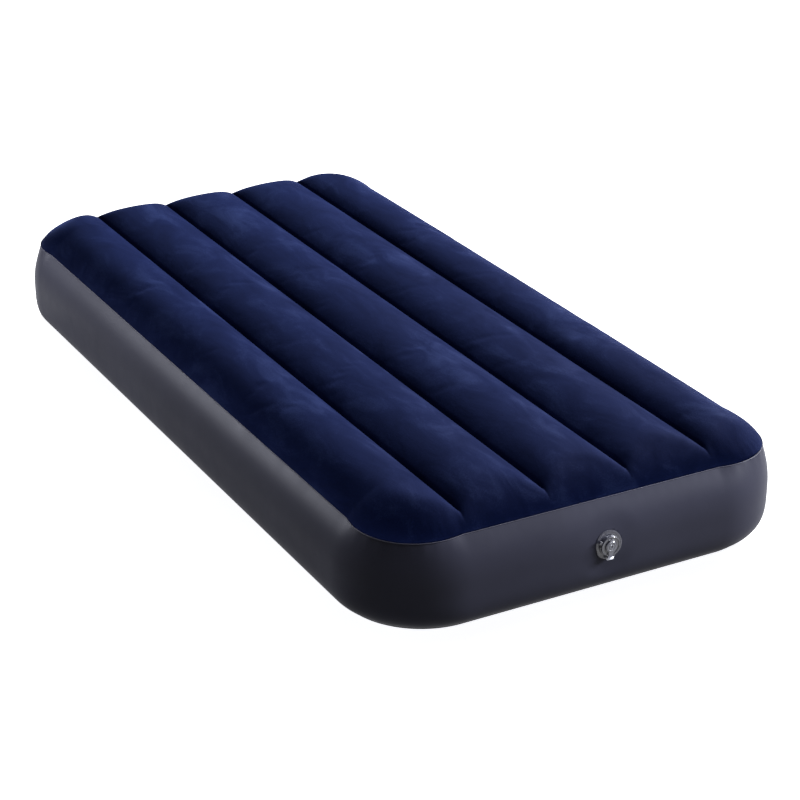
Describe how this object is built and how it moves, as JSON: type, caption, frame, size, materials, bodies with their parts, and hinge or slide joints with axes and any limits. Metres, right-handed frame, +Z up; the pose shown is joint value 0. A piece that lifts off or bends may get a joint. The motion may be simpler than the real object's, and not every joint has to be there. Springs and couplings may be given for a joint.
{
  "type": "air mattress",
  "caption": "Low inflatable bed with a flocked top in long channels, a plain bulging side wall, inner tension beams and a capped air valve on one end wall.",
  "frame": {"origin": "on the floor under the middle of the mattress, without the valve", "axes": "+X across the width, +Y along the length, away from the valve; +Z up"},
  "size_m": [0.965, 1.9503, 0.27],
  "materials": {
    "flocked_top": "short velvet flock",
    "wall_vinyl": "satin",
    "sole_vinyl": "satin",
    "beam_vinyl": "satin",
    "weld_strip_vinyl": "satin",
    "valve_soft_clear": "soft, half clear",
    "valve_clear": "half clear",
    "cap_soft_clear": "soft, half clear",
    "seal_rubber": "smooth",
    "flap_rubber": "smooth"
  },
  "bodies": {
    "envelope": {"bottom_panel": "sole_vinyl", "side_wall": "wall_vinyl", "beam_1_web": "beam_vinyl", "beam_2_web": "beam_vinyl", "beam_3_web": "beam_vinyl", "beam_4_web": "beam_vinyl", "beam_1_lower_strip": "weld_strip_vinyl", "beam_2_lower_strip": "weld_strip_vinyl", "beam_3_lower_strip": "weld_strip_vinyl", "beam_4_lower_strip": "weld_strip_vinyl"},
    "deck": {"top_panel": "flocked_top", "beam_1_upper_strip": "weld_strip_vinyl", "beam_2_upper_strip": "weld_strip_vinyl", "beam_3_upper_strip": "weld_strip_vinyl", "beam_4_upper_strip": "weld_strip_vinyl"},
    "valve_mount": {"valve_base": "valve_soft_clear", "plug_tether": "valve_soft_clear"},
    "plug": {"valve_plug": "valve_clear", "plug_seal": "seal_rubber"},
    "cap": {"nozzle_cap": "cap_soft_clear"},
    "flap": {"check_flap": "flap_rubber"}
  },
  "joints": [
    {"name": "deck_sink", "type": "slide", "parent": "envelope", "child": "deck", "axis": [0, 0, 1], "range_m": [-0.07, 0], "stiffness_N_per_m": 9000, "springref_m": 0.005, "deforming": ["side_wall", "beam_1_web", "beam_2_web", "beam_3_web", "beam_4_web"]},
    {"name": "valve_drop", "type": "slide", "parent": "envelope", "child": "valve_mount", "axis": [0, 0, 1], "range_m": [-0.0393, 0]},
    {"name": "plug_pull", "type": "slide", "parent": "valve_mount", "child": "plug", "axis": [0, -1, 0], "range_m": [0, 0.022], "deforming": ["plug_tether"]},
    {"name": "cap_flip", "type": "hinge", "parent": "plug", "child": "cap", "pos_m": [0.011, -0.9785, 0.1065], "axis": [1, 0, 0], "range_deg": [0, 150]},
    {"name": "flap_swing", "type": "hinge", "parent": "plug", "child": "flap", "pos_m": [0.011, -0.9571, 0.1383], "axis": [1, 0, 0], "range_deg": [0, 45], "stiffness_Nm_per_rad": 0.0002, "springref_deg": -5.73}
  ],
  "couplings": [
    {"joint": "valve_drop", "follows": "deck_sink", "ratio": 0.5615}
  ]
}
